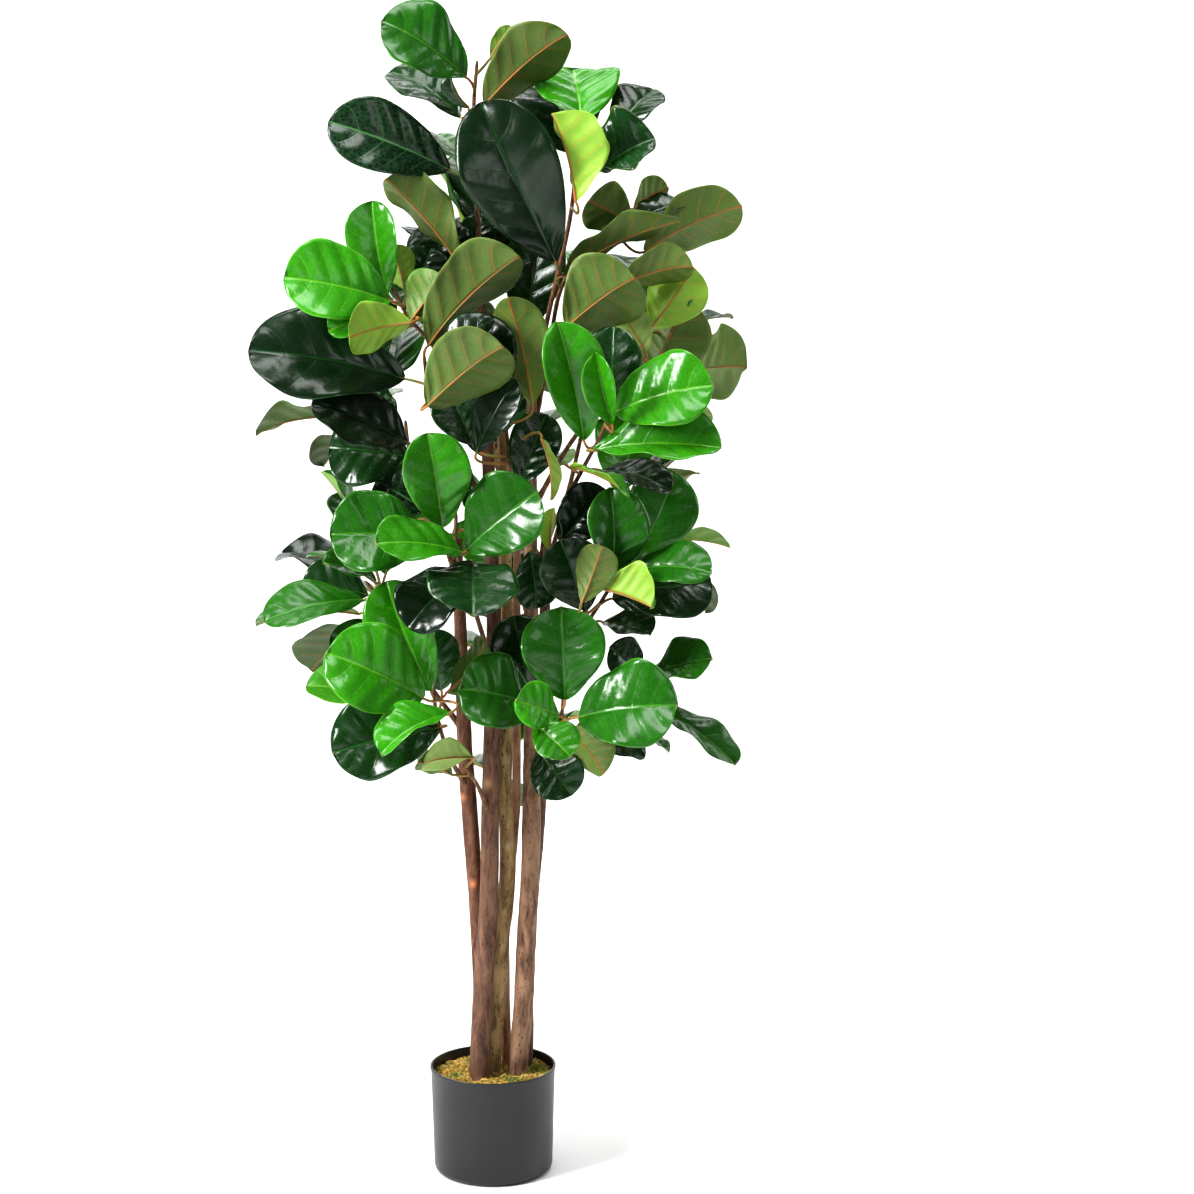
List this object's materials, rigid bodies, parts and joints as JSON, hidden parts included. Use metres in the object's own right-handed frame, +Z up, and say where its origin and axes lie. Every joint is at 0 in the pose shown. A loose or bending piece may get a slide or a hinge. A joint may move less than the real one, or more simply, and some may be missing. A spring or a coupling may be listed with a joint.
{
  "type": "potted fiddle leaf fig",
  "caption": "Tall potted fiddle leaf fig with wood poles, plugged-in leafy branches and a tapered black pot that stands on its flat base.",
  "frame": {"origin": "centre of the pot's flat underside, on the surface that the pot stands on", "axes": "+Z up along the plant, -Y towards the front view, +X to its right"},
  "size_m": [0.7644, 0.5812, 1.7954],
  "materials": {
    "pot_plastic": "satin moulded",
    "set_fill": "matt",
    "dry_moss": "loose dry strands",
    "bark_smooth_brown": "natural bark",
    "bark_mottled_tan": "natural bark",
    "bark_mottled_brown": "natural bark",
    "bark_pink": "natural bark",
    "foliage": "glossy leaf"
  },
  "bodies": {
    "root": {"pot": "pot_plastic", "potting_fill": "set_fill", "moss": "dry_moss", "pole_front_left": "bark_smooth_brown", "pole_middle": "bark_mottled_tan", "pole_right": "bark_mottled_brown", "pole_left": "bark_smooth_brown", "pole_thin": "bark_pink", "pole_back": "bark_mottled_brown", "branch_crown": "foliage", "branch_high_right": "foliage", "branch_right_upper": "foliage", "branch_right": "foliage", "branch_right_middle": "foliage", "branch_right_lower": "foliage", "branch_left_upper": "foliage", "branch_left": "foliage", "branch_inner_top": "foliage", "branch_middle": "foliage", "branch_inner_low": "foliage", "branch_left_middle": "foliage", "branch_front": "foliage", "branch_left_lower": "foliage", "branch_left_low": "foliage", "branch_front_low": "foliage", "branch_right_low": "foliage", "branch_knee": "foliage", "branch_back_high": "foliage", "branch_back_upper_right": "foliage", "branch_back_upper_left": "foliage", "branch_back_middle": "foliage", "branch_back_right": "foliage", "branch_back_left": "foliage", "branch_back_lower": "foliage", "branch_back_low": "foliage"}
  },
  "joints": []
}
